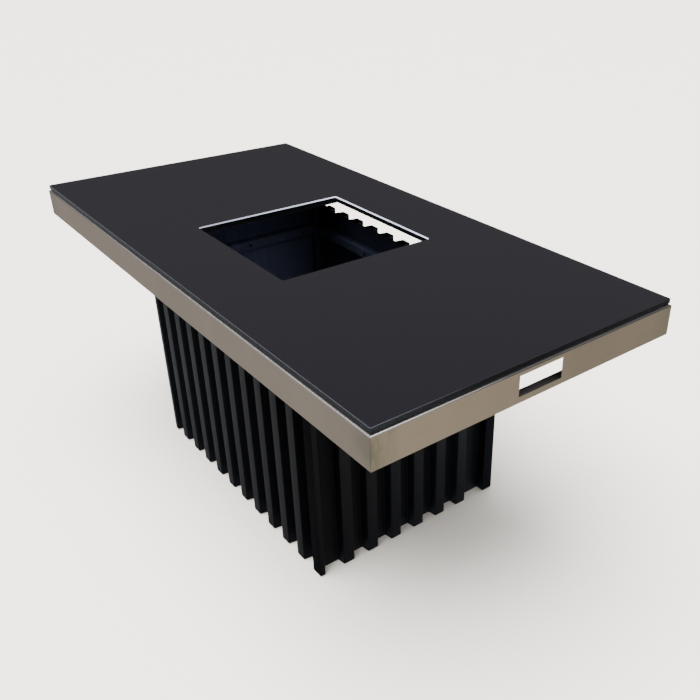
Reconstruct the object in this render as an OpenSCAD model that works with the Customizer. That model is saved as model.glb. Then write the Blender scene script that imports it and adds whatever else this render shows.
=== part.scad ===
// Long dining table with a square burner opening in a black glass top, a folded
// stainless apron and a box base of fluted black panels.
// X runs along the table, Y across it and Z up. The origin is on the floor under
// the middle of the table. The front is the long side at -Y.

/* [Table] */
// Length over the apron
table_l = 1800; // [1500:10:2400]
// Width over the apron
table_w = 900; // [860:10:1200]
// Height of the glass surface above the floor
table_h = 780; // [700:5:800]

/* [Glass top] */
// Thickness of the glass
glass_t = 12; // [6:1:15]
// Distance from the apron's face to the edge of the glass
glass_inset = 3; // [1:0.5:5]
// Radius of the glass sheet's corners
glass_corner_r = 4; // [2:1:20]
// Side of the square burner opening
opening_side = 468; // [300:2:500]
// Radius of the opening's corners
opening_corner_r = 5; // [3:1:20]

/* [Foam pads] */
// Thickness of the pads between the apron and the glass
pad_t = 5; // [3:0.5:8]
// Width of a pad strip
pad_w = 12; // [8:1:14]
// Distance from the apron's face, or from the board's opening, to a pad
pad_inset = 6; // [5:0.5:8]
// Gap where a short strip butts against a long one
pad_gap = 0.2; // [0.1:0.1:1]

/* [Board] */
// Thickness of the board under the glass
board_t = 8; // [7:1:18]
// How far the board's opening stands back from the opening in the glass
board_setback = 16; // [4:1:18]
// Clear distance between the board's edge and the bend of the apron
board_gap = 1; // [0.5:0.5:3]

/* [Apron] */
// Height of the apron
apron_h = 81; // [74:1:120]
// Thickness of the apron's sheet
sheet_t = 1.2; // [0.8:0.1:2]
// Inner radius of the apron's bends
bend_in_r = 1.5; // [0.5:0.5:3]
// Width of the top and bottom flanges, from the apron's face
flange_w = 40; // [28:1:40]
// Gap at each mitred corner seam
seam_gap = 0.3; // [0.2:0.1:0.6]
// Width of the cut-out in the right end
slot_w = 132; // [60:1:180]
// Height of the cut-out in the right end
slot_h = 52; // [20:1:56]
// Height of the cut-out's lower edge above the bottom of the apron
slot_rise = 17; // [8:0.5:18]
// Radius of the cut-out's corners
slot_r = 2; // [1:0.5:8]

/* [Top frame] */
// Outer width of the square tube
tube = 30; // [25:1:40]
// Wall of the tube
tube_wall = 2; // [1.5:0.5:3]
// Inner corner radius of the tube
tube_in_r = 1; // [0.5:0.5:2]
// Distance from the apron's face to the ring of tube under the board
ring_inset = 60; // [50:1:70]
// Place of the long bearers, as a share of the room from the opening to the ring
long_bearer_share = 0.72; // [0.3:0.02:0.9]
// Place of the short bearers, as a share of the room from the opening to the base
short_bearer_share = 0.67; // [0.3:0.01:0.9]
// Place of the outriggers, as a share of half the cross bearer
outrigger_share = 0.5; // [0.3:0.05:0.8]

/* [Base] */
// Length of the base over the ribs
base_l = 920; // [900:10:1100]
// Width of the base over the ribs
base_w = 634; // [560:2:680]
// Open height between the fluted panels and the frame above
panel_top_gap = 34; // [10:1:60]
// Clear height between the fluted panels and the floor
panel_floor_gap = 3; // [2:0.5:8]
// Thickness of the foot glides under the posts
glide_h = 4; // [3:0.5:10]
// Length of a glide's plug inside its post
glide_plug_l = 22; // [12:1:30]
// Radius of a glide's pad
glide_r = 19; // [16:0.5:20]
// Height of the lower rails' underside above the floor
lower_rail_rise = 45; // [30:1:90]
// Depth of the upper rails' top below the panels' top edge
upper_rail_drop = 55; // [5:1:60]

/* [Fluted panels] */
// Thickness of a panel's web
web_t = 10; // [9:0.5:14]
// Height of a rib above the web
rib_h = 26; // [14:1:30]
// Width of a rib's outer face
rib_w = 34; // [22:1:38]
// Sideways slope of each rib flank over the rib's height
rib_taper = 4; // [1:0.5:6]
// Radius along a rib's outer edges
rib_edge_r = 1.5; // [1:0.5:4]
// Distance from one rib to the next
rib_pitch = 82; // [70:1:100]
// Width of the edge rib that laps over the next panel
edge_rib_w = 16; // [10:1:30]
// First full rib on the front panel, from its left end
front_rib_start = 80; // [60:1:110]
// First full rib on the back panel, from its left end
back_rib_start = 104; // [60:1:110]
// First full rib on the end panels, from their left ends
end_rib_start = 95; // [60:1:110]
// Gap where one panel butts against the next
panel_gap = 0.5; // [0.3:0.1:1]

/* [Brackets and plates] */
// Thickness of the plates on top of the posts
plate_t = 5; // [3:0.5:8]
// Length of a post's plate, along the cross bearer
plate_l = 76; // [72:1:84]
// Distance from the middle of a post to its plate's screws
plate_screw_off = 27; // [26:0.5:28]
// Thickness of the apron stays
stay_t = 3; // [2:0.5:4]
// Width of an apron stay
stay_w = 30; // [20:1:40]
// Distance from the apron's face to the tip of a stay's foot
stay_reach = 10; // [8:1:14]
// Height of a stay's leg up the side of the tube
stay_grip = 22; // [15:1:24]
// Stays along each long side
long_stay_count = 3; // [2:1:5]
// Stays along each short side
short_stay_count = 2; // [2:2:2]

/* [Screws] */
// Clearance round every screw
screw_clear = 0.2; // [0.1:0.05:0.4]
// Shank radius of the screws through the board and flanges
small_shank_r = 2; // [1.5:0.25:2.25]
// Head radius of the screws through the board and flanges
small_head_r = 3.6; // [3:0.1:4]
// Head height of the screws through the board and flanges
small_head_h = 2; // [1.5:0.1:2.4]
// Length of the screws from the board into the tubes
board_screw_l = 20; // [16:1:24]
// Length of the screws from the top flange into the board
apron_screw_l = 7.5; // [6:0.5:8]
// Distance from the apron's face to the screws in the top flange
apron_screw_in = 23; // [22.5:0.5:24]
// Length of the screws from the bottom flange into the stays
stay_screw_l = 8; // [6:0.5:12]
// Distance from the apron's face to the screws in the bottom flange
stay_screw_in = 20; // [17:0.5:23]
// Shank radius of the screws that hold the top frame to the posts
post_shank_r = 3; // [2.5:0.25:3.5]
// Head radius of the screws that hold the top frame to the posts
post_head_r = 5.5; // [5:0.25:6]
// Head height of the screws that hold the top frame to the posts
post_head_h = 4; // [3:0.5:5]
// Length of the screws that hold the top frame to the posts
post_screw_l = 16; // [12:1:20]
// Shank radius of the screws through the rails into the panels
panel_shank_r = 2; // [1.5:0.25:2.5]
// Head radius of the screws through the rails into the panels
panel_head_r = 4; // [3.5:0.25:5]
// Head height of the screws through the rails into the panels
panel_head_h = 2.5; // [2:0.25:3]
// Depth of the rail screws in the panels
panel_bite = 7; // [4:0.5:8]
// Screws in the top flange of each long side
long_apron_screws = 7; // [3:1:9]
// Screws in the top flange of each short side
short_apron_screws = 4; // [2:1:5]
// Screws from the board into each long rail
long_board_screws = 6; // [3:1:8]
// Screws from the board into each short rail
short_board_screws = 3; // [2:1:4]
// Screws from the board into each cross bearer
bearer_board_screws = 4; // [2:2:4]
// Screws from a long base rail into its panel
long_panel_screws = 4; // [2:1:6]
// Screws from a short base rail into its panel
short_panel_screws = 3; // [2:1:4]

/* [Hidden] */
$fn = 48;

// One overrun serves every cut
over = 1;
// Clearance of the glide plugs in their posts
plug_clear = 0.2;
// Steps in the arc along a rib's outer edge
arc_steps = 4;

// Sides are numbered 0 front, 1 right, 2 back, 3 left
FRONT = 0;
RIGHT = 1;
BACK = 2;
LEFT = 3;
SIDES = [FRONT, RIGHT, BACK, LEFT];

// Levels, from the glass down
glass_z = table_h - glass_t;
apron_top_z = glass_z - pad_t;
apron_bot_z = apron_top_z - apron_h;
board_top_z = apron_top_z - sheet_t;
board_bot_z = board_top_z - board_t;
bearer_z = board_bot_z - tube / 2;
bearer_bot_z = board_bot_z - tube;
post_top_z = bearer_bot_z - plate_t;
panel_top_z = bearer_bot_z - panel_top_gap;
upper_rail_z = panel_top_z - upper_rail_drop - tube / 2;
lower_rail_z = lower_rail_rise + tube / 2;

// Places in plan
bend_out_r = bend_in_r + sheet_t;
board_inset = bend_out_r + board_gap;
board_opening = opening_side + 2 * board_setback;
ring_x = table_l / 2 - ring_inset - tube / 2;
ring_y = table_w / 2 - ring_inset - tube / 2;
cross_l = 2 * ring_y - tube;
panel_t = web_t + rib_h;
post_x = base_l / 2 - panel_t - tube / 2;
post_y = base_w / 2 - panel_t - tube / 2;
long_bearer_room = ring_y - opening_side / 2 - 3 * tube / 2;
short_bearer_room = post_x - opening_side / 2 - 3 * tube / 2;
long_bearer_y = opening_side / 2 + long_bearer_share * long_bearer_room + tube / 2;
short_bearer_x = opening_side / 2 + short_bearer_share * short_bearer_room + tube / 2;
outrigger_l = ring_x - post_x - tube;
outrigger_x = (ring_x + post_x) / 2;
outrigger_y = outrigger_share * cross_l / 2;

// How much of a side its screws and stays are spread over
apron_screw_share = 0.88;
board_screw_share = 0.92;
stay_share = 0.72;
short_stay_share = 0.56;
panel_screw_share = 0.8;

glass_colour = [0.10, 0.10, 0.12];
steel_colour = [0.66, 0.62, 0.56];
black_colour = [0.09, 0.09, 0.10];
panel_colour = [0.07, 0.07, 0.08];
foam_colour = [0.05, 0.05, 0.05];
screw_colour = [0.55, 0.55, 0.57];

// Length of a side of the table, and of the base
function side_l(side) = side % 2 == 0 ? table_l : table_w;
function base_side_l(side) = side % 2 == 0 ? base_l : base_w;
// Evenly spread places over a length, centred on zero
function spread(count, length) = [for (i = [0:count - 1]) (i / (count - 1) - 1 / 2) * length];
function apron_screw_places(side) =
  spread(side % 2 == 0 ? long_apron_screws : short_apron_screws, side_l(side) * apron_screw_share);
function stay_places(side) =
  side % 2 == 0 ? spread(long_stay_count, table_l * stay_share)
                : spread(short_stay_count, table_w * short_stay_share);
function panel_screw_places(side) =
  spread(side % 2 == 0 ? long_panel_screws : short_panel_screws,
         base_rail_l(side) * panel_screw_share);
function base_rail_l(side) = 2 * (side % 2 == 0 ? post_x : post_y) - tube;

// Turns a piece drawn with its outer face at y = 0 to one side of a rectangle
module at_side(side, half_l, half_w) {
  rotate([0, 0, 90 * side])
    translate([0, -(side % 2 == 0 ? half_w : half_l), 0])
      children();
}

module at_table_side(side) {
  at_side(side, table_l / 2, table_w / 2) children();
}

module at_base_side(side) {
  at_side(side, base_l / 2, base_w / 2) children();
}

// Rectangle with true round corners, centred
module round_rect(w, h, r) {
  square([w - 2 * r, h], center = true);
  square([w, h - 2 * r], center = true);
  for (sx = [-1, 1], sy = [-1, 1])
    translate([sx * (w / 2 - r), sy * (h / 2 - r)]) circle(r);
}

module tube_section() {
  difference() {
    round_rect(tube, tube, tube_in_r + tube_wall);
    round_rect(tube - 2 * tube_wall, tube - 2 * tube_wall, tube_in_r);
  }
}

module tube_x(length) {
  rotate([0, 90, 0]) linear_extrude(height = length, center = true) tube_section();
}

module tube_y(length) {
  rotate([90, 0, 0]) linear_extrude(height = length, center = true) tube_section();
}

// Screw with a round head above z = 0 and its shank below
module pan_screw(shank_r, head_r, head_h, length) {
  cylinder(r = head_r, h = head_h);
  translate([0, 0, -length]) cylinder(r = shank_r, h = length + head_h / 2);
}

// Screw with a countersunk head whose top is at z = 0
module sunk_screw(shank_r, head_r, head_h, length) {
  translate([0, 0, -head_h]) cylinder(r1 = shank_r, r2 = head_r, h = head_h);
  translate([0, 0, -length]) cylinder(r = shank_r, h = length - head_h / 2);
}

// Glass

module glass_top() {
  color(glass_colour)
    translate([0, 0, glass_z])
      linear_extrude(height = glass_t)
        difference() {
          round_rect(table_l - 2 * glass_inset, table_w - 2 * glass_inset, glass_corner_r);
          round_rect(opening_side, opening_side, opening_corner_r);
        }
}

// One strip of a rectangle of pads, its outer edge on y = 0 and its length given there.
// The long strips run through and the short ones butt against them.
module pad_strip(side, length, height) {
  strip_l = side % 2 == 0 ? length : length - 2 * pad_w - 2 * pad_gap;
  translate([-strip_l / 2, 0, 0]) cube([strip_l, pad_w, height]);
}

module edge_pads() {
  color(foam_colour)
    for (side = SIDES)
      at_table_side(side)
        translate([0, pad_inset, apron_top_z])
          pad_strip(side, side_l(side) - 2 * pad_inset, pad_t);
}

module opening_pads() {
  half = board_opening / 2 + pad_inset + pad_w;
  color(foam_colour)
    for (side = SIDES)
      at_side(side, half, half)
        translate([0, 0, board_top_z])
          pad_strip(side, 2 * half, pad_t + sheet_t);
}

// Board

module board_screw_places() {
  for (sy = [-1, 1], x = spread(long_board_screws, 2 * ring_x * board_screw_share))
    translate([x, sy * ring_y, board_top_z]) children();
  for (sx = [-1, 1], y = spread(short_board_screws, cross_l * board_screw_share))
    translate([sx * ring_x, y, board_top_z]) children();
  for (sx = [-1, 1], y = spread(bearer_board_screws, cross_l * board_screw_share))
    translate([sx * post_x, y, board_top_z]) children();
}

module apron_screw_holes(depth) {
  for (side = SIDES)
    at_table_side(side)
      for (x = apron_screw_places(side))
        translate([x, apron_screw_in, apron_top_z - depth])
          cylinder(r = small_shank_r + screw_clear, h = depth + over);
}

module board_screw_holes() {
  board_screw_places() {
    translate([0, 0, -board_screw_l - over])
      cylinder(r = small_shank_r + screw_clear, h = board_screw_l + 2 * over);
  }
}

module top_board() {
  color(black_colour)
    difference() {
      translate([0, 0, board_bot_z])
        linear_extrude(height = board_t)
          difference() {
            square([table_l - 2 * board_inset, table_w - 2 * board_inset], center = true);
            round_rect(board_opening, board_opening, opening_corner_r);
          }
      apron_screw_holes(sheet_t + board_t + over);
      board_screw_holes();
      board_screw_places()
        translate([0, 0, -small_head_h])
          cylinder(r1 = small_shank_r + screw_clear, r2 = small_head_r + screw_clear,
                   h = small_head_h);
    }
}

// Apron

// Channel section: x runs inwards from the outer face and y runs up
module apron_section() {
  difference() {
    intersection() {
      translate([flange_w, apron_h / 2]) round_rect(2 * flange_w, apron_h, bend_out_r);
      square([flange_w, apron_h]);
    }
    translate([flange_w, apron_h / 2])
      round_rect(2 * (flange_w - sheet_t), apron_h - 2 * sheet_t, bend_in_r);
  }
}

module apron_rail(side) {
  half = side_l(side) / 2 - seam_gap / 2;
  color(steel_colour)
    difference() {
      at_table_side(side)
        translate([0, 0, apron_bot_z])
          intersection() {
            rotate([90, 0, 90])
              linear_extrude(height = 2 * half, center = true) apron_section();
            linear_extrude(height = apron_h)
              polygon([[-half, 0], [half, 0], [half - flange_w, flange_w],
                       [flange_w - half, flange_w]]);
          }
      at_table_side(side) {
        for (x = apron_screw_places(side))
          translate([x, apron_screw_in, apron_top_z - sheet_t - over])
            cylinder(r = small_shank_r + screw_clear, h = sheet_t + 2 * over);
        for (x = stay_places(side))
          translate([x, stay_screw_in, apron_bot_z - over])
            cylinder(r = small_shank_r + screw_clear, h = sheet_t + 2 * over);
      }
    }
}

module apron_front() apron_rail(FRONT);
module apron_back() apron_rail(BACK);
module apron_left() apron_rail(LEFT);

module apron_right() {
  color(steel_colour)
    difference() {
      apron_rail(RIGHT);
      at_table_side(RIGHT)
        translate([0, -over, apron_bot_z + slot_rise + slot_h / 2])
          rotate([-90, 0, 0])
            linear_extrude(height = sheet_t + 2 * over) round_rect(slot_w, slot_h, slot_r);
    }
}

// One stay, drawn for a side whose outer face is at y = 0
module apron_stay() {
  foot_z = apron_bot_z + sheet_t;
  leg_h = bearer_bot_z + stay_grip - foot_z;
  difference() {
    union() {
      translate([-stay_w / 2, stay_reach, foot_z])
        cube([stay_w, ring_inset - stay_reach, stay_t]);
      translate([-stay_w / 2, ring_inset - stay_t, foot_z])
        cube([stay_w, stay_t, leg_h]);
    }
    translate([0, stay_screw_in, foot_z - over])
      cylinder(r = small_shank_r + screw_clear, h = stay_t + 2 * over);
  }
}

module apron_stays() {
  color(black_colour)
    for (side = SIDES)
      at_table_side(side)
        for (x = stay_places(side)) translate([x, 0, 0]) apron_stay();
}

// Top frame

// A tube of the top frame, with holes for the screws that come down through the board
module frame_tube(place) {
  color(black_colour)
    difference() {
      translate([place[0], place[1], bearer_z]) children();
      board_screw_holes();
    }
}

module rail_front() frame_tube([0, -ring_y]) tube_x(2 * ring_x + tube);
module rail_back() frame_tube([0, ring_y]) tube_x(2 * ring_x + tube);
module rail_left() frame_tube([-ring_x, 0]) tube_y(cross_l);
module rail_right() frame_tube([ring_x, 0]) tube_y(cross_l);

// A cross bearer also has the holes for the screws that come up through the post plates
module cross_bearer(sx) {
  difference() {
    frame_tube([sx * post_x, 0]) tube_y(cross_l);
    post_screw_places()
      cylinder(r = post_shank_r + screw_clear, h = plate_t + tube_wall + over);
  }
}

module cross_bearer_left() color(black_colour) cross_bearer(-1);
module cross_bearer_right() color(black_colour) cross_bearer(1);

module long_bearer(sy) {
  color(black_colour) translate([0, sy * long_bearer_y, bearer_z]) tube_x(2 * post_x - tube);
}

module long_bearer_front() long_bearer(-1);
module long_bearer_back() long_bearer(1);

module opening_bearer(sx) {
  color(black_colour)
    translate([sx * short_bearer_x, 0, bearer_z]) tube_y(2 * long_bearer_y - tube);
}

module opening_bearer_left() opening_bearer(-1);
module opening_bearer_right() opening_bearer(1);

module outrigger(sx, sy) {
  color(black_colour)
    translate([sx * outrigger_x, sy * outrigger_y, bearer_z]) tube_x(outrigger_l);
}

module outrigger_front_left() outrigger(-1, -1);
module outrigger_front_right() outrigger(1, -1);
module outrigger_back_left() outrigger(-1, 1);
module outrigger_back_right() outrigger(1, 1);

// Base frame

module post(sx, sy) {
  color(black_colour)
    translate([sx * post_x, sy * post_y, glide_h])
      linear_extrude(height = post_top_z - glide_h) tube_section();
}

module post_front_left() post(-1, -1);
module post_front_right() post(1, -1);
module post_back_left() post(-1, 1);
module post_back_right() post(1, 1);

// Undersides of the post plates, where their screws enter
module post_screw_places() {
  for (sx = [-1, 1], sy = [-1, 1], off = [-1, 1])
    translate([sx * post_x, sy * post_y + off * plate_screw_off, post_top_z]) children();
}

module post_head_plates() {
  color(black_colour)
    difference() {
      for (sx = [-1, 1], sy = [-1, 1])
        translate([sx * post_x - tube / 2, sy * post_y - plate_l / 2, post_top_z])
          cube([tube, plate_l, plate_t]);
      post_screw_places()
        translate([0, 0, -over])
          cylinder(r = post_shank_r + screw_clear, h = plate_t + 2 * over);
    }
}

// A base rail lies against the inner face of its panel
module base_rail(side, z) {
  color(black_colour)
    at_base_side(side)
      translate([0, panel_t + tube / 2, z])
        difference() {
          tube_x(base_rail_l(side));
          for (x = panel_screw_places(side))
            translate([x, 0, 0])
              rotate([90, 0, 0])
                cylinder(r = panel_shank_r + screw_clear, h = tube + 2 * over, center = true);
        }
}

module upper_rail_front() base_rail(FRONT, upper_rail_z);
module upper_rail_right() base_rail(RIGHT, upper_rail_z);
module upper_rail_back() base_rail(BACK, upper_rail_z);
module upper_rail_left() base_rail(LEFT, upper_rail_z);
module lower_rail_front() base_rail(FRONT, lower_rail_z);
module lower_rail_right() base_rail(RIGHT, lower_rail_z);
module lower_rail_back() base_rail(BACK, lower_rail_z);
module lower_rail_left() base_rail(LEFT, lower_rail_z);

module foot_glides() {
  plug = tube - 2 * tube_wall - 2 * plug_clear;
  color(foam_colour)
    for (sx = [-1, 1], sy = [-1, 1])
      translate([sx * post_x, sy * post_y, 0]) {
        cylinder(r = glide_r, h = glide_h);
        linear_extrude(height = glide_h + glide_plug_l) round_rect(plug, plug, tube_in_r);
      }
}

// Fluted panels

flank_angle = atan(rib_taper / rib_h);
// Distance from a rib's sharp edge to where its rounding starts
edge_run = rib_edge_r * tan((90 - flank_angle) / 2);

function arc(x, y, r, from, to) =
  [for (i = [0:arc_steps]) let (a = from + (to - from) * i / arc_steps)
    [x + r * cos(a), y + r * sin(a)]];

// Outline of a rib's right shoulder whose sharp edge would be at x
function right_shoulder(x) =
  concat(arc(x - edge_run, rib_edge_r, rib_edge_r, 270, 360 - flank_angle),
         [[x + rib_taper, rib_h]]);
function left_shoulder(x) =
  concat([[x - rib_taper, rib_h]],
         arc(x + edge_run, rib_edge_r, rib_edge_r, 180 + flank_angle, 270));
function rib_outline(x) = concat(left_shoulder(x - rib_w / 2), right_shoulder(x + rib_w / 2));

// Section of a panel, from its left end, seen from above: rib faces on y = 0
module panel_section(length, start) {
  room = length - start - rib_w / 2 - rib_taper;
  ribs = [for (i = [0:floor(room / rib_pitch)]) each rib_outline(start + i * rib_pitch)];
  polygon(concat([[0, panel_t]], arc(rib_edge_r, rib_edge_r, rib_edge_r, 180, 270),
                 right_shoulder(edge_rib_w), ribs, [[length, rib_h], [length, panel_t]]));
}

// Each panel laps over the one before it at its left end and butts against the next
// one at its right end, as seen from outside.
module fluted_panel(side, start) {
  length = base_side_l(side) - panel_t - panel_gap;
  color(panel_colour)
    at_base_side(side)
      difference() {
        translate([-base_side_l(side) / 2, 0, panel_floor_gap])
          linear_extrude(height = panel_top_z - panel_floor_gap) panel_section(length, start);
        for (x = panel_screw_places(side), z = [upper_rail_z, lower_rail_z])
          translate([x, panel_t + over, z])
            rotate([90, 0, 0])
              cylinder(r = panel_shank_r + screw_clear, h = panel_bite + over);
      }
}

module fluted_front() fluted_panel(FRONT, front_rib_start);
module fluted_right() fluted_panel(RIGHT, end_rib_start);
module fluted_back() fluted_panel(BACK, back_rib_start);
module fluted_left() fluted_panel(LEFT, end_rib_start);

// Screws

module board_screws() {
  color(screw_colour)
    board_screw_places() sunk_screw(small_shank_r, small_head_r, small_head_h, board_screw_l);
}

module apron_screws() {
  color(screw_colour)
    for (side = SIDES)
      at_table_side(side)
        for (x = apron_screw_places(side))
          translate([x, apron_screw_in, apron_top_z])
            pan_screw(small_shank_r, small_head_r, small_head_h, apron_screw_l);
}

module stay_screws() {
  color(screw_colour)
    for (side = SIDES)
      at_table_side(side)
        for (x = stay_places(side))
          translate([x, stay_screw_in, apron_bot_z])
            mirror([0, 0, 1])
              pan_screw(small_shank_r, small_head_r, small_head_h, stay_screw_l);
}

module post_screws() {
  color(screw_colour)
    post_screw_places()
      mirror([0, 0, 1]) pan_screw(post_shank_r, post_head_r, post_head_h, post_screw_l);
}

module panel_screws() {
  color(screw_colour)
    for (side = SIDES)
      at_base_side(side)
        for (x = panel_screw_places(side), z = [upper_rail_z, lower_rail_z])
          translate([x, panel_t + tube, z])
            rotate([-90, 0, 0])
              pan_screw(panel_shank_r, panel_head_r, panel_head_h, tube + panel_bite);
}

glass_top();
edge_pads();
opening_pads();
top_board();
apron_front();
apron_right();
apron_back();
apron_left();
rail_front();
rail_right();
rail_back();
rail_left();
cross_bearer_left();
cross_bearer_right();
long_bearer_front();
long_bearer_back();
opening_bearer_left();
opening_bearer_right();
outrigger_front_left();
outrigger_front_right();
outrigger_back_left();
outrigger_back_right();
post_front_left();
post_front_right();
post_back_left();
post_back_right();
post_head_plates();
upper_rail_front();
upper_rail_right();
upper_rail_back();
upper_rail_left();
lower_rail_front();
lower_rail_right();
lower_rail_back();
lower_rail_left();
fluted_front();
fluted_right();
fluted_back();
fluted_left();
foot_glides();
apron_stays();
board_screws();
apron_screws();
stay_screws();
post_screws();
panel_screws();
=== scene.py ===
"""Looks of a long burner dining table: black glass, brushed steel apron and fluted base.

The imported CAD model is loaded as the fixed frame. The pieces that show get a finer
surface over their CAD node, and every other node keeps its shape and gets a finish.
"""

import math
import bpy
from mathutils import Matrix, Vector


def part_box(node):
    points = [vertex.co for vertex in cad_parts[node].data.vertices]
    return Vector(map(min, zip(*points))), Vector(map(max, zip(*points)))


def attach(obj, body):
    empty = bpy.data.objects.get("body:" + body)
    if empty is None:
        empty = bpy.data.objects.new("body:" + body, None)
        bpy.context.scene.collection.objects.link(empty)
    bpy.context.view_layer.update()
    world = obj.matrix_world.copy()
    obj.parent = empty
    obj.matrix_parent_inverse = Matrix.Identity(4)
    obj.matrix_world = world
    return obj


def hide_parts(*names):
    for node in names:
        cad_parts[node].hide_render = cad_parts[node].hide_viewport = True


bl_info = {
    "name": "Burner dining table",
    "version": (1, 0, 0),
    "blender": (4, 5, 0),
    "location": "3D View > Sidebar > Table",
    "description": "Glass top, steel apron and fluted base of a burner dining table",
    "category": "Object",
}

import bmesh
import bpy
import numpy as np
from bpy.props import FloatProperty, FloatVectorProperty, IntProperty, PointerProperty
from mathutils import Matrix, Vector

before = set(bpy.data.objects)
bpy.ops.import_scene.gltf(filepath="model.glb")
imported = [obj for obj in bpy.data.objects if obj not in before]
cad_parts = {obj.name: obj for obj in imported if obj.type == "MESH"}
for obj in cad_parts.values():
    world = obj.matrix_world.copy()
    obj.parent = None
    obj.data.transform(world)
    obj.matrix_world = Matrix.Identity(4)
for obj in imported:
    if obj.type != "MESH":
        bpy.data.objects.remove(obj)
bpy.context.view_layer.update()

GLASS_LOW, GLASS_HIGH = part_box("glass_top")
APRON_LOW, APRON_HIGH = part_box("apron_front")
APRON_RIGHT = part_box("apron_right")[1]
PANEL_LOW, PANEL_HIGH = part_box("fluted_front")

# Sides are numbered 0 front, 1 right, 2 back, 3 left, as in the CAD source
SIDES = ("front", "right", "back", "left")
FRAME_NODES = (
    ["rail_" + s for s in SIDES]
    + ["cross_bearer_left", "cross_bearer_right", "long_bearer_front", "long_bearer_back"]
    + ["opening_bearer_left", "opening_bearer_right"]
    + ["outrigger_" + a + "_" + b for a in ("front", "back") for b in ("left", "right")]
    + ["post_" + a + "_" + b for a in ("front", "back") for b in ("left", "right")]
    + ["upper_rail_" + s for s in SIDES]
    + ["lower_rail_" + s for s in SIDES]
    + ["post_head_plates", "apron_stays"]
)
SCREW_NODES = ["board_screws", "apron_screws", "stay_screws", "post_screws"]

# Eased edge of the panels' cut ends, and radius of their back corners
PANEL_EASE = 0.0006
# Steps across a quarter turn of the cut-out's corners
SLOT_STEPS = 4
# Length of the closing edge in the middle of a panel's back
BACK_SEAM = 0.001
# Faces this close to a panel's back, rib faces or sawn end belong to them
NEAR_BACK, NEAR_RIB, NEAR_SAWN = 0.0008, 0.0004, 0.0008

# Distances from a steel corner: where the stain starts and is full, and the weld line
STAIN_START, STAIN_FULL = 0.075, 0.02
WELD_START, WELD_FULL = 0.004, 0.0005
# Inside of the base's box, in half length and half width, and the edge of its painted light
BOX_X, BOX_Y, BOX_FADE = 0.430, 0.287, 0.004
PAINTED_LIGHT_OUTSIDE = 0.15
# The paint is painted darker at the base's front right corner and paler along y and x away
# from it, as painted shade and light
PAINTED_SHADE_Y, PAINTED_SHADE_X = 1.3, -0.65
PAINTED_SHADE_START, PAINTED_SHADE_END = -0.711, 0.089

FLOOR_REACH = 100.0
SENSOR_WIDTH = 36.0
CLIP_START, CLIP_END = 0.05, 100.0
# Name, direction from the table, width in degrees and strength of each light
LIGHTS = (("overhead_light", (-0.10, -0.20, 1.0), 60.0, 10.5),
          ("front_fill", (0.55, -0.65, 0.60), 80.0, 2.4))
# Height of a direction, from -1 below to 1 above, and the grey of the studio seen there
WALL_GREYS = ((-1.0, 0.38), (-0.02, 0.38), (0.02, 0.105), (0.25, 0.13), (0.40, 0.265),
              (0.60, 0.41), (0.74, 0.55), (0.82, 3.4), (1.0, 3.4))
WALL_BLUE = 1.02


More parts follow.
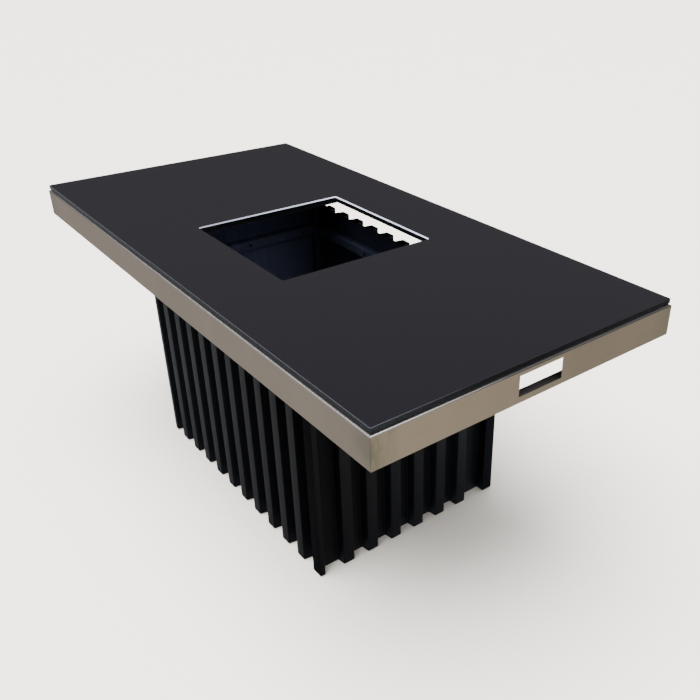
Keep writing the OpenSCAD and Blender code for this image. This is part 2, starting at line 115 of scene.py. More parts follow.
class TableSizes(bpy.types.PropertyGroup):
    """Sizes of the pieces that are made here."""

    opening_side: FloatProperty(
        name="Opening side", description="Side of the square burner opening",
        default=0.468, min=0.2, max=0.6, unit="LENGTH")
    opening_corner: FloatProperty(
        name="Opening corner", description="Radius of the opening's corners",
        default=0.005, min=0.001, max=0.05, unit="LENGTH")
    opening_bevel: FloatProperty(
        name="Opening bevel", description="Width of the polished bevel round the opening",
        default=0.0030, min=0.0005, max=0.008, unit="LENGTH")
    glass_corner: FloatProperty(
        name="Glass corner", description="Radius of the glass sheet's corners",
        default=0.004, min=0.001, max=0.05, unit="LENGTH")
    glass_arris: FloatProperty(
        name="Glass arris", description="Width of the ground arris along the outer edges",
        default=0.0010, min=0.0002, max=0.004, unit="LENGTH")
    sheet: FloatProperty(
        name="Steel sheet", description="Thickness of the apron's sheet",
        default=0.0012, min=0.0005, max=0.003, unit="LENGTH")
    bend: FloatProperty(
        name="Bend radius", description="Outer radius of the apron's bends",
        default=0.0027, min=0.001, max=0.01, unit="LENGTH")
    slot_width: FloatProperty(
        name="Cut-out width", description="Width of the cut-out in the right end",
        default=0.132, min=0.02, max=0.3, unit="LENGTH")
    slot_height: FloatProperty(
        name="Cut-out height", description="Height of the cut-out in the right end",
        default=0.052, min=0.01, max=0.06, unit="LENGTH")
    slot_rise: FloatProperty(
        name="Cut-out rise", description="Height of the cut-out's lower edge on the apron",
        default=0.017, min=0.005, max=0.03, unit="LENGTH")
    slot_corner: FloatProperty(
        name="Cut-out corner", description="Radius of the cut-out's corners",
        default=0.002, min=0.0005, max=0.01, unit="LENGTH")
    rib_height: FloatProperty(
        name="Rib height", description="How far a rib stands out from its panel",
        default=0.026, min=0.005, max=0.04, unit="LENGTH")
    rib_width: FloatProperty(
        name="Rib width", description="Width of a rib's outer face",
        default=0.034, min=0.01, max=0.05, unit="LENGTH")
    rib_slope: FloatProperty(
        name="Rib slope", description="Sideways slope of a rib's flank over its height",
        default=0.004, min=0.0, max=0.01, unit="LENGTH")
    rib_round: FloatProperty(
        name="Rib rounding", description="Radius along a rib's outer edges",
        default=0.0018, min=0.0005, max=0.008, unit="LENGTH")
    valley_round: FloatProperty(
        name="Valley rounding", description="Radius along the inner corners between ribs",
        default=0.0025, min=0.0005, max=0.01, unit="LENGTH")
    rib_pitch: FloatProperty(
        name="Rib pitch", description="Distance from one rib to the next",
        default=0.082, min=0.05, max=0.12, unit="LENGTH")
    edge_rib: FloatProperty(
        name="Edge rib", description="Width of the rib that laps over the next panel",
        default=0.016, min=0.005, max=0.03, unit="LENGTH")
    front_start: FloatProperty(
        name="Front start", description="Middle of the front panel's first full rib",
        default=0.080, min=0.05, max=0.12, unit="LENGTH")
    back_start: FloatProperty(
        name="Back start", description="Middle of the back panel's first full rib",
        default=0.104, min=0.05, max=0.12, unit="LENGTH")
    end_start: FloatProperty(
        name="End start", description="Middle of the end panels' first full rib",
        default=0.095, min=0.05, max=0.12, unit="LENGTH")
    round_steps: IntProperty(
        name="Rounding steps", description="Faces across each small rounding",
        default=6, min=2, max=16)


class TableColours(bpy.types.PropertyGroup):
    """Colours of the finishes, as linear light."""

    glass: FloatVectorProperty(
        name="Glass", description="Black glass of the top", subtype="COLOR",
        default=(0.0028, 0.0024, 0.0038), min=0.0, max=1.0)
    glass_bevel: FloatVectorProperty(
        name="Glass bevel", description="Ground bevel round the opening", subtype="COLOR",
        default=(0.40, 0.42, 0.52), min=0.0, max=1.0)
    glass_edge: FloatVectorProperty(
        name="Glass edge", description="Polished side of the glass", subtype="COLOR",
        default=(0.007, 0.008, 0.009), min=0.0, max=1.0)
    steel: FloatVectorProperty(
        name="Steel", description="Brushed steel of the apron's long sides",
        subtype="COLOR", default=(0.74, 0.625, 0.50), min=0.0, max=1.0)
    # Painted light: a warmer, brighter copy of the steel for the warmer light the short
    # sides reflect
    steel_end_painted_light: FloatVectorProperty(
        name="End steel", description="Brushed steel of the apron's short sides",
        subtype="COLOR", default=(0.93, 0.755, 0.53), min=0.0, max=1.0)
    # Painted highlight: the bends' outside is painted brighter than the steel
    bend: FloatVectorProperty(
        name="Bend", description="Burnished outside of the apron's bends", subtype="COLOR",
        default=(0.94, 0.92, 0.87), min=0.0, max=1.0)
    # Painted shade: dark colour for the apron's inside and top flange, where the glass and
    # apron shade them
    painted_shade_inside: FloatVectorProperty(
        name="Primer", description="Primer inside the apron", subtype="COLOR",
        default=(0.065, 0.057, 0.062), min=0.0, max=1.0)
    paint: FloatVectorProperty(
        name="Paint", description="Black paint of the fluted panels", subtype="COLOR",
        default=(0.0030, 0.0036, 0.0055), min=0.0, max=1.0)
    # Painted light: the paler colour painted on the upper part of the rib faces
    rib_face_painted_light: FloatVectorProperty(
        name="Rib face", description="Rubbed paint at the top of the rib faces",
        subtype="COLOR", default=(0.023, 0.025, 0.027), min=0.0, max=1.0)
    panel_back: FloatVectorProperty(
        name="Panel back", description="Paint on the panels' backs and tops",
        subtype="COLOR", default=(0.010, 0.012, 0.022), min=0.0, max=1.0)
    powder: FloatVectorProperty(
        name="Powder coat", description="Black powder coat of the tubes", subtype="COLOR",
        default=(0.0090, 0.0106, 0.0185), min=0.0, max=1.0)
    board: FloatVectorProperty(
        name="Board", description="Black board under the glass", subtype="COLOR",
        default=(0.005, 0.005, 0.006), min=0.0, max=1.0)
    foam: FloatVectorProperty(
        name="Foam", description="Black foam of the pads", subtype="COLOR",
        default=(0.010, 0.010, 0.010), min=0.0, max=1.0)
    zinc: FloatVectorProperty(
        name="Zinc", description="Plated screws", subtype="COLOR",
        default=(0.30, 0.30, 0.31), min=0.0, max=1.0)
    floor: FloatVectorProperty(
        name="Floor", description="Pale studio floor", subtype="COLOR",
        default=(0.81, 0.765, 0.70), min=0.0, max=1.0)


class TableStage(bpy.types.PropertyGroup):
    """Camera."""

    azimuth: FloatProperty(
        name="Azimuth", description="Direction of the camera round the table, from -Y",
        default=math.radians(50.31), subtype="ANGLE")
    elevation: FloatProperty(
        name="Elevation", description="Height of the camera's direction above the horizon",
        default=math.radians(29.70), subtype="ANGLE")
    roll: FloatProperty(
        name="Roll", description="Turn of the camera about its own line of sight",
        default=math.radians(0.82), subtype="ANGLE")
    lens: FloatProperty(
        name="Lens", description="Focal length on a sensor 36 mm wide",
        default=41.67, min=10)
    place: FloatVectorProperty(
        name="Camera place", description="Where the camera stands", subtype="XYZ",
        unit="LENGTH", default=(1.88844, -1.14138, 1.60549))
    shift: FloatVectorProperty(
        name="Shift", description="How far the photograph's frame is shifted", size=2,
        default=(-0.10849, 0.01827))


# Shapes


def rounded_loop(half_x, half_y, radius, steps):
    """Rounded rectangle, anticlockwise from the middle of +X.

    Each corner's points are its centre plus the radius times (cosine, sine) of an angle
    that runs over its own quarter turn."""
    turn = np.radians(90.0 * np.arange(4)[:, None] + np.linspace(0, 90, steps + 1))
    corner = np.array([[1, 1], [-1, 1], [-1, -1], [1, -1]], float)
    centre = corner * (np.array([half_x, half_y]) - radius)
    round_part = radius * np.stack([np.cos(turn), np.sin(turn)], axis=-1)
    return (centre[:, None, :] + round_part).reshape(-1, 2)


def rounded_line(points, radii, steps):
    """Line whose corners are rounded.

    At each inner corner the line leaves its straight run at radius times the tangent of
    half the turn before the corner, and follows an arc of that radius to the same distance
    after it. An arc point is the arc's centre plus the radius times the unit vector that
    swings from the first leaving point to the last. The two end points stay as they are."""
    points = np.asarray(points, float)
    before = points[1:-1] - points[:-2]
    after = points[2:] - points[1:-1]
    before /= np.linalg.norm(before, axis=1)[:, None]
    after /= np.linalg.norm(after, axis=1)[:, None]
    cross = before[:, 0] * after[:, 1] - before[:, 1] * after[:, 0]
    turn = np.arctan2(cross, (before * after).sum(axis=1))
    radius = np.asarray(radii, float)[:, None]
    run = radius * np.tan(np.abs(turn) / 2)[:, None]
    start = points[1:-1] - before * run
    side = np.sign(turn)[:, None] * np.stack([-before[:, 1], before[:, 0]], axis=1)
    centre = start + side * radius
    angle = turn[:, None] * np.linspace(0, 1, steps + 1)
    spoke = (start - centre)[:, None, :]
    swung = np.stack([
        spoke[..., 0] * np.cos(angle) - spoke[..., 1] * np.sin(angle),
        spoke[..., 0] * np.sin(angle) + spoke[..., 1] * np.cos(angle)], axis=-1)
    arcs = (centre[:, None, :] + swung).reshape(-1, 2)
    return np.concatenate([points[:1], arcs, points[-1:]])


def inset_loop(loop, distance):
    """Closed loop moved towards its inside.

    Each point moves along the mean of its two edges' inward normals, by the distance over
    the cosine of half the angle between them."""
    edge = np.roll(loop, -1, axis=0) - loop
    edge /= np.linalg.norm(edge, axis=1)[:, None]
    normal = np.stack([-edge[:, 1], edge[:, 0]], axis=1)
    mean = normal + np.roll(normal, 1, axis=0)
    mean /= (mean * mean).sum(axis=1)[:, None] / 2
    return loop + mean * distance


def grid_faces(rows, columns, close_rows=False, close_columns=False):
    """Quads of a grid of points: corner, next column, next row and column, next row.

    A closed direction joins its last line of points to its first."""
    r = np.arange(rows if close_rows else rows - 1)[:, None]
    c = np.arange(columns if close_columns else columns - 1)[None, :]
    r2, c2 = (r + 1) % rows, (c + 1) % columns
    return np.stack(np.broadcast_arrays(
        r * columns + c, r * columns + c2, r2 * columns + c2, r2 * columns + c), axis=-1)


def to_side(points, side, out):
    """Turns points drawn with x along a side and y inwards from its face to that side.

    The side's face is moved to y = -out, then it all turns by a quarter for each side."""
    x, y, z = points[..., 0], points[..., 1] - out, points[..., 2]
    c, s = ((1, 0), (0, 1), (-1, 0), (0, -1))[side]
    return np.stack([c * x - s * y, s * x + c * y, z], axis=-1)


def side_box(node, side):
    """A node's box as its side sees it: first and last x along the side, distance of its
    face from the middle, and low and high z."""
    low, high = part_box(node)
    along, across = side % 2, 1 - side % 2
    first, last = low[along], high[along]
    if side >= 2:
        first, last = -last, -first
    return first, last, max(abs(low[across]), abs(high[across])), low.z, high.z


def make_piece(name, points, faces, finishes, finish_of=None, sharp=28.0):
    """Mesh object at the origin from points and faces, turned outwards, with smooth faces
    that stay sharp over the given angle."""
    mesh = bpy.data.meshes.new(name)
    mesh.from_pydata(points.reshape(-1, 3).tolist(), [], faces)
    if finish_of is not None:
        mesh.polygons.foreach_set("material_index", np.asarray(finish_of, np.int32))
    work = bmesh.new()
    work.from_mesh(mesh)
    bmesh.ops.remove_doubles(work, verts=work.verts, dist=1e-7)
    bmesh.ops.recalc_face_normals(work, faces=work.faces)
    work.to_mesh(mesh)
    work.free()
    mesh.polygons.foreach_set("use_smooth", np.ones(len(mesh.polygons), bool))
    mesh.set_sharp_from_angle(angle=math.radians(sharp))
    for finish in finishes:
        mesh.materials.append(finish)
    piece = bpy.data.objects.new(name, mesh)
    bpy.context.scene.collection.objects.link(piece)
    return piece


def dress(piece, slot, *nodes):
    """Puts a new piece on the table's one body in place of its CAD nodes."""
    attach(piece, "root")
    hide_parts(*nodes)


def give_finish(nodes, finish):
    """Gives CAD nodes that keep their shape a finish in each of their material slots."""
    for name in nodes:
        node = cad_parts[name]
        for held in node.material_slots:
            held.material = finish


# Finishes


class Finish:
    """One material and the words in which its nodes are made."""

    def __init__(self, name, colour, roughness, metallic=0.0, **sockets):
        self.material = bpy.data.materials.new(name)
        self.material.use_nodes = True
        self.tree = self.material.node_tree
        self.shader = self.tree.nodes["Principled BSDF"]
        self.colour = (*colour, 1.0)
        self.shader.inputs["Base Color"].default_value = self.colour
        self.shader.inputs["Roughness"].default_value = roughness
        self.shader.inputs["Metallic"].default_value = metallic
        for key, value in sockets.items():
            self.shader.inputs[key.replace("_", " ")].default_value = value
        self.here = self.add("ShaderNodeTexCoord").outputs["Object"]

    def add(self, kind, inputs=None, **settings):
        """A new node with its settings, and each input linked or set."""
        made = self.tree.nodes.new(kind)
        for key, value in settings.items():
            setattr(made, key, value)
        for key, value in (inputs or {}).items():
            if isinstance(value, bpy.types.NodeSocket):
                self.tree.links.new(value, made.inputs[key])
            else:
                made.inputs[key].default_value = value
        return made

    def stretched(self, scale):
        """Object coordinates scaled apart along X, Y and Z."""
        return self.add("ShaderNodeMapping",
                        {"Vector": self.here, "Scale": scale}).outputs["Vector"]

    def noise(self, scale, detail=3.0, rough=0.5, stretch=None):
        """Noise whose grain is 1 / scale metres, drawn out where stretch is small."""
        place = self.stretched(stretch) if stretch else self.here
        return self.add("ShaderNodeTexNoise", {
            "Vector": place, "Scale": scale, "Detail": detail,
            "Roughness": rough}).outputs["Fac"]

    def cells(self, scale, stretch=None):
        """Distance from the middle of the nearest of many scattered cells."""
        place = self.stretched(stretch) if stretch else self.here
        return self.add("ShaderNodeTexVoronoi",
                        {"Vector": place, "Scale": scale}).outputs["Distance"]

    def span(self, value, low, high, start=0.3, end=0.7):
        """The value's range from start to end, carried to low to high."""
        return self.add("ShaderNodeMapRange", {
            "Value": value, "From Min": start, "From Max": end,
            "To Min": low, "To Max": high}).outputs["Result"]

    def sum(self, first, second, share=1.0):
        """First plus share times second."""
        return self.add("ShaderNodeMath", {0: second, 1: share, 2: first},
                        operation="MULTIPLY_ADD").outputs[0]

    def times(self, first, second):
        """First times second."""
        return self.add("ShaderNodeMath", {0: first, 1: second},
                        operation="MULTIPLY").outputs[0]

    def blend(self, share, colour, first=None):
        """The finish's own colour, or a first one, going over to another by a share."""
        mixed = self.add("ShaderNodeMix", {
            0: share, 6: first or self.colour, 7: (*colour, 1.0)}, data_type="RGBA")
        return mixed.outputs[2]

    def dimmed(self, colour, factor):
        """A colour times a factor."""
        return self.add("ShaderNodeVectorMath", {0: colour, "Scale": factor},
                        operation="SCALE").outputs[0]

    def place(self, axis):
        """One of the object coordinates."""
        return self.add("ShaderNodeSeparateXYZ", {"Vector": self.here}).outputs[axis]

    def fade(self, axis, low, high, start, end):
        """Low to high while an object coordinate goes from start to end."""
        return self.span(self.place(axis), low, high, start, end)

    def near_end(self, axis, start, end):
        """0 up to a distance from the middle along an axis, rising to 1 at the end."""
        far = self.add("ShaderNodeMath", {0: self.place(axis)}, operation="ABSOLUTE")
        return self.span(far.outputs[0], 0.0, 1.0, start, end)

    def wire(self, key, value):
        """Links a value to one of the shader's sockets."""
        self.tree.links.new(value, self.shader.inputs[key])

    def bump(self, *layers):
        """Chains bumps of (height, strength, depth in metres) onto the shader's normal."""
        normal = None
        for height, strength, depth in layers:
            inputs = {"Height": height, "Strength": strength, "Distance": depth}
            if normal is not None:
                inputs["Normal"] = normal
            normal = self.add("ShaderNodeBump", inputs).outputs["Normal"]
        self.wire("Normal", normal)


def shade(colour, factor):
    """A colour made lighter or darker by a factor."""
    return tuple(min(1.0, channel * factor) for channel in colour)


def black_glass(colour):
    """Tempered black glass: near mirror, with a faint roller wave and wiped smears."""
    f = Finish("black_glass", colour, 0.14, Specular_IOR_Level=0.30)
    smear = f.noise(2.2, 4, 0.6, (1.0, 2.5, 1.0))
    dust = f.noise(900, 2, 0.7)
    f.wire("Roughness", f.sum(f.span(smear, 0.11, 0.17), f.span(dust, 0.0, 0.04, 0.5, 0.8)))
    f.wire("Base Color", f.blend(f.span(dust, 0.0, 0.6, 0.55, 0.8), shade(colour, 1.6)))
    wave = f.noise(3.0, 1, 0.4, (1.0, 0.4, 1.0))
    f.bump((wave, 0.05, 0.02))
    return f.material


def ground_edge(name, colour, dull, front, back):
    """Machine-ground glass edge: fine grey grit with wheel marks along it. It is painted
    darker by the given share at one of two distances along Y, as painted shade."""
    f = Finish(name, colour, 0.35, IOR=1.5)
    grit = f.noise(2600, 2, 0.6)
    wheel = f.noise(60, 3, 0.5, (1.0, 1.0, 30.0))
    ground = f.blend(f.span(grit, 0.0, 0.5), shade(colour, 0.75))
    # Painted shade: darker by the given share at one end along Y
    f.wire("Base Color", f.dimmed(ground, f.fade("Y", dull, 1.0, front, back)))
    f.wire("Roughness", f.span(wheel, 0.30, 0.50))
    f.bump((grit, 0.15, 0.0002))
    return f.material


def polished_edge(colour):
    """Polished side of the black glass, with the sheet's green-grey cast, painted paler
    along the front as painted light."""
    f = Finish("polished_glass_edge", colour, 0.18, Specular_IOR_Level=0.06)
    drawn = f.noise(40, 3, 0.5, (1.0, 1.0, 25.0))
    cast = f.blend(f.span(drawn, 0.0, 0.7), shade(colour, 2.2))
    # Painted light: paler along the front, darker further back
    f.wire("Base Color", f.dimmed(cast, f.fade("Y", 0.3, 1.0, -0.15, -0.42)))
    f.wire("Roughness", f.span(drawn, 0.14, 0.30))
    f.bump((drawn, 0.05, 0.0004))
    return f.material


def brushed_steel(name, colour, along):
    """Stainless sheet brushed along X (0) or Y (1): hairline grain, broad streaks where the
    belt pressed harder, soft upright clouds, and towards each corner a duller stained
    patch and the soft line of the dressed weld. The short sides are painted brighter
    towards the front, as painted sheen."""
    f = Finish(name, colour, 0.34, metallic=1.0, Anisotropic=0.4)
    fine = (0.004, 1.0, 1.0) if along == 0 else (1.0, 0.004, 1.0)
    broad = (0.03, 1.0, 1.0) if along == 0 else (1.0, 0.03, 1.0)
    hair = f.noise(2400, 2, 0.7, fine)
    streak = f.noise(260, 4, 0.6, broad)
    smear = f.noise(9, 4, 0.6)
    cloud = f.noise(5.0, 3, 0.55, (1.0, 1.0, 0.3))
    patch = f.noise(30, 3, 0.6, (1.0, 1.0, 0.45))
    end = APRON_HIGH.x if along == 0 else APRON_RIGHT.y
    corner = f.near_end("XY"[along], end - STAIN_START, end - STAIN_FULL)
    weld = f.near_end("XY"[along], end - WELD_START, end - WELD_FULL)
    tone = f.sum(f.span(streak, 0.0, 0.22), f.span(cloud, 0.0, 0.40))
    plain = f.blend(tone, shade(colour, 0.80))
    # Painted sheen: the short sides are painted brighter towards the front
    if along == 1:
        plain = f.dimmed(plain, f.fade("Y", 1.0, 0.74, -0.28, 0.15))
    # The stain is darker and a little greener than the steel
    dark = (0.72, 0.60)[along]
    stain = (colour[0] * dark, colour[1] * dark * 1.08, colour[2] * dark * 1.05)
    stained = f.blend(f.times(corner, f.span(patch, 0.35, 1.0, 0.40, 0.62)), stain, plain)
    f.wire("Base Color", f.blend(f.times(weld, f.span(patch, 0.3, 0.7)),
                                 shade(colour, 0.55), stained))
    rough = f.sum(f.span(hair, 0.28, 0.40), f.span(smear, 0.0, 0.07))
    f.wire("Roughness", f.sum(rough, f.times(corner, f.span(patch, -0.04, 0.10))))
    f.bump((cloud, 0.05, 0.006), (streak, 0.05, 0.0002), (hair, 0.10, 0.00006))
    tangent = f.add("ShaderNodeTangent", direction_type="RADIAL", axis="Z")
    f.wire("Tangent", tangent.outputs[0])
    return f.material


def bend_painted_highlight(colour):
    """Outside of a bend, painted bright as a painted highlight: fine drag lines and small
    dull spots, and painted duller away from the front right corner as painted shade."""
    f = Finish("bend_painted_highlight", colour, 0.42, metallic=1.0)
    drag = f.noise(900, 2, 0.6, (0.02, 0.02, 1.0))
    spot = f.noise(120, 3, 0.6)
    rubbed = f.blend(f.span(spot, 0.0, 0.4, 0.5, 0.75), shade(colour, 0.85))
    # Painted highlight: brightest at the front right corner, duller towards the back and
    # the left
    back = f.fade("Y", 1.0, 0.18, -0.40, -0.10)
    left = f.fade("X", 0.45, 1.0, -0.9, 0.2)
    f.wire("Base Color", f.dimmed(rubbed, f.times(back, left)))
    f.wire("Roughness", f.span(drag, 0.38, 0.46))
    f.bump((drag, 0.04, 0.00003))
    return f.material


def inside_painted_shade(colour):
    """Dark coat on the sheet's inner skin and the top flange under the glass, painted dark
    as painted shade: dull, with drips.
    """
    f = Finish("steel_inside_painted_shade", colour, 0.6, Specular_IOR_Level=0.2)
    drip = f.noise(70, 3, 0.6, (1.0, 1.0, 0.2))
    peel = f.noise(600, 2, 0.5)
    f.wire("Base Color", f.blend(f.span(drip, 0.0, 0.6), shade(colour, 0.7)))
    f.wire("Roughness", f.span(peel, 0.52, 0.68))
    f.bump((drip, 0.1, 0.0003), (peel, 0.1, 0.0002))
    return f.material


def fluted_paint(name, colour, rough, gloss, top=None):
    """Black paint sprayed on fluted board: fine orange peel, long sanding marks down the
    flutes, and scuffs and dust near the floor. It is painted darker at the front right
    corner and paler away from it, as painted shade and light. With a top colour it is
    also painted paler towards the top, as painted light."""
    f = Finish(name, colour, rough, Specular_IOR_Level=gloss)
    peel = f.noise(420, 2, 0.5)
    sanded = f.noise(160, 3, 0.6, (1.0, 1.0, 0.02))
    patch = f.noise(7, 3, 0.6, (1.0, 1.0, 0.35))
    low = f.fade("Z", 1.0, 0.0, 0.0, 0.11)
    scuff = f.times(low, f.span(f.noise(55, 4, 0.7), 0.0, 1.0, 0.5, 0.72))
    wear_and_painted_light = f.blend(f.sum(f.span(sanded, 0.0, 0.25), scuff, 0.25), shade(colour, 2.6))
    # Painted light: the rib faces are painted paler towards the top
    if top is not None:
        wear_and_painted_light = f.blend(f.fade("Z", 0.0, 1.0, 0.05, PANEL_HIGH.z), top, wear_and_painted_light)
    # Painted shade and light: darker at the front right corner, paler towards the back and
    # the left
    away = f.sum(f.times(f.place("Y"), PAINTED_SHADE_Y), f.place("X"), PAINTED_SHADE_X)
    f.wire("Base Color", f.dimmed(wear_and_painted_light, f.span(away, 0.22, 0.95, PAINTED_SHADE_START, PAINTED_SHADE_END)))
    f.wire("Roughness", f.sum(f.span(patch, rough - 0.06, rough + 0.06), scuff, 0.25))
    f.bump((sanded, 0.12, 0.0004), (peel, 0.10, 0.0003))
    return f.material


def painted_light_inside(f):
    """Factor of painted light inside the base's box: it is painted paler towards the front
    and darker towards the back, and there is little of it outside the box."""
    within = f.times(f.fade("X", PAINTED_LIGHT_OUTSIDE, 1.0, -BOX_X - BOX_FADE, -BOX_X),
                     f.fade("X", 1.0, PAINTED_LIGHT_OUTSIDE, BOX_X, BOX_X + BOX_FADE))
    within = f.times(within,
                     f.fade("Y", PAINTED_LIGHT_OUTSIDE, 1.0, -BOX_Y - BOX_FADE, -BOX_Y))
    return f.times(f.fade("Y", 5.5, 0.3, -0.10, 0.275), within)


def rolled_back(colour):
    """Rolled black on the backs and tops of the panels: upright roller marks, and painted
    light inside the base's box that fades towards the back."""
    f = Finish("rolled_panel_back", colour, 0.6, Specular_IOR_Level=0.15)
    roller = f.noise(40, 3, 0.6, (1.0, 1.0, 0.1))
    dust = f.noise(500, 2, 0.6)
    rolled = f.blend(f.span(roller, 0.0, 0.5), shade(colour, 1.5))
    # Painted light: paler towards the front inside the base's box
    f.wire("Base Color", f.dimmed(rolled, painted_light_inside(f)))
    f.wire("Roughness", f.span(dust, 0.55, 0.70))
    f.bump((roller, 0.10, 0.0003), (dust, 0.05, 0.0002))
    return f.material


def powder_coat(colour):
    """Matt black powder coat: close orange peel, a few rubbed places, and painted light
    inside the base's box that fades towards the back."""
    f = Finish("black_powder_coat", colour, 0.6, Specular_IOR_Level=0.12)
    peel = f.noise(700, 2, 0.5)
    rub = f.noise(14, 4, 0.6)
    rubbed = f.blend(f.span(rub, 0.0, 0.7, 0.5, 0.8), shade(colour, 1.8))
    # Painted light: paler towards the front inside the base's box
    f.wire("Base Color", f.dimmed(rubbed, painted_light_inside(f)))
    f.wire("Roughness", f.span(rub, 0.66, 0.5))
    f.bump((peel, 0.25, 0.0003))
    return f.material


def black_board(colour):
    """Black faced board: fine pressed grain, and chips that show in its sawn edges."""
    f = Finish("black_faced_board", colour, 0.62)
    chip = f.cells(320, (1.0, 1.0, 2.5))
    grain = f.noise(90, 4, 0.6, (0.2, 1.0, 1.0))
    f.wire("Base Color", f.blend(f.span(chip, 0.8, 0.0, 0.0, 0.5), shade(colour, 1.7)))
    f.wire("Roughness", f.span(grain, 0.55, 0.75))
    f.bump((grain, 0.2, 0.0003), (chip, 0.15, 0.0004))
    return f.material


def closed_foam(colour):
    """Closed-cell foam: small round cells, quite dull."""
    f = Finish("closed_cell_foam", colour, 0.9)
    cell = f.cells(900)
    f.wire("Base Color", f.blend(f.span(cell, 1.0, 0.0, 0.0, 0.5), shade(colour, 2.4)))
    f.wire("Roughness", f.span(cell, 0.82, 0.96, 0.0, 0.6))
    f.bump((cell, 0.5, 0.0005))
    return f.material


def zinc_plate(name, colour):
    """Plating on a screw: small crystals and darker handled spots."""
    f = Finish(name, colour, 0.32, metallic=1.0)
    crystal = f.cells(1400)
    spot = f.noise(260, 3, 0.6)
    f.wire("Base Color", f.blend(f.span(spot, 0.0, 0.7, 0.45, 0.75), shade(colour, 0.6)))
    f.wire("Roughness", f.span(crystal, 0.24, 0.42, 0.0, 0.6))
    f.bump((crystal, 0.12, 0.0001))
    return f.material


def glide_plastic(colour):
    """Moulded plastic of the glides: fine sparked texture and scratches from dragging."""
    f = Finish("moulded_glide_plastic", colour, 0.5)
    spark = f.noise(1500, 2, 0.6)
    drag = f.noise(220, 3, 0.6, (0.05, 1.0, 1.0))
    f.wire("Base Color", f.blend(f.span(drag, 0.0, 0.6, 0.5, 0.75), shade(colour, 3.0)))
    f.wire("Roughness", f.span(spark, 0.42, 0.62))
    f.bump((spark, 0.3, 0.0002), (drag, 0.2, 0.0003))
    return f.material


def studio_floor(colour):
    """Pale matt studio floor with a faint mottle."""
    f = Finish("pale_studio_floor", colour, 0.75)
    mottle = f.noise(1.4, 4, 0.6)
    f.wire("Base Color", f.blend(f.span(mottle, 0.0, 0.5), shade(colour, 0.97)))
    f.wire("Roughness", f.span(mottle, 0.7, 0.8))
    return f.material


# Pieces


class TABLE_OT_stage(bpy.types.Operator):
    """Floor, soft lights and the camera at the photograph's view"""

    bl_idname = "table.stage"
    bl_label = "Stage"

    def execute(self, context):
        self.lay_floor(context.scene)
        for light in LIGHTS:
            self.sky_light(*light)
        context.scene.world = self.studio_walls()
        context.scene.camera = self.photo_camera(context.scene.table_stage)
        return {"FINISHED"}

    def lay_floor(self, scene):
        """Wide floor that the glass and the steel don't mirror."""
        r = FLOOR_REACH
        mesh = bpy.data.meshes.new("studio_floor")
        mesh.from_pydata([(-r, -r, 0), (r, -r, 0), (r, r, 0), (-r, r, 0)], [],
                         [(0, 1, 2, 3)])
        mesh.materials.append(studio_floor(scene.table_colours.floor))
        floor = bpy.data.objects.new("studio_floor", mesh)
        scene.collection.objects.link(floor)
        # Gloss shows the even grey of the studio's walls in place of the bright floor
        floor.visible_glossy = False

    def photo_camera(self, stage):
        """The camera that was fitted to the photograph."""
        az, el, roll = stage.azimuth, stage.elevation, stage.roll
        back = Vector((math.sin(az) * math.cos(el), -math.cos(az) * math.cos(el),
                       math.sin(el)))
        level = Vector((math.cos(az), math.sin(az), 0.0))
        upright = back.cross(level)
        right = level * math.cos(roll) + upright * math.sin(roll)
        up = upright * math.cos(roll) - level * math.sin(roll)
        data = bpy.data.cameras.new("photo_camera")
        data.sensor_width, data.lens = SENSOR_WIDTH, stage.lens
        data.shift_x, data.shift_y = stage.shift
        data.clip_start, data.clip_end = CLIP_START, CLIP_END
        camera = bpy.data.objects.new("photo_camera", data)
        bpy.context.scene.collection.objects.link(camera)
        turned = Matrix((right, up, back)).transposed().to_4x4()
        camera.matrix_world = Matrix.Translation(stage.place) @ turned
        return camera

    def sky_light(self, name, toward, spread, power):
        """A broad even light from a direction, as wide as the given angle in degrees."""
        data = bpy.data.lights.new(name, "SUN")
        data.angle, data.energy = math.radians(spread), power
        light = bpy.data.objects.new(name, data)
        bpy.context.scene.collection.objects.link(light)
        light.rotation_mode = "QUATERNION"
        light.rotation_quaternion = (-Vector(toward)).to_track_quat("-Z", "Y")
        # The glass and the steel mirror the studio's walls and its soft box alone
        light.visible_glossy = False

    def studio_walls(self):
        """World that is grey below the horizon, dark above it and bright overhead, like a
        studio with a wide soft box over the table."""
        world = bpy.data.worlds.new("studio_walls")
        world.use_nodes = True
        nodes, links = world.node_tree.nodes, world.node_tree.links
        toward = nodes.new("ShaderNodeTexCoord").outputs["Generated"]
        height = nodes.new("ShaderNodeSeparateXYZ")
        span = nodes.new("ShaderNodeMapRange")
        span.inputs["From Min"].default_value = -1.0
        ramp = nodes.new("ShaderNodeValToRGB")
        links.new(toward, height.inputs[0])
        links.new(height.outputs["Z"], span.inputs["Value"])
        links.new(span.outputs["Result"], ramp.inputs["Fac"])
        links.new(ramp.outputs["Color"], nodes["Background"].inputs["Color"])
        while len(ramp.color_ramp.elements) < len(WALL_GREYS):
            ramp.color_ramp.elements.new(0.5)
        for stop, (height_seen, grey) in zip(ramp.color_ramp.elements, WALL_GREYS):
            stop.position = (height_seen + 1) / 2
            stop.color = (grey, grey, grey * WALL_BLUE, 1.0)
        return world


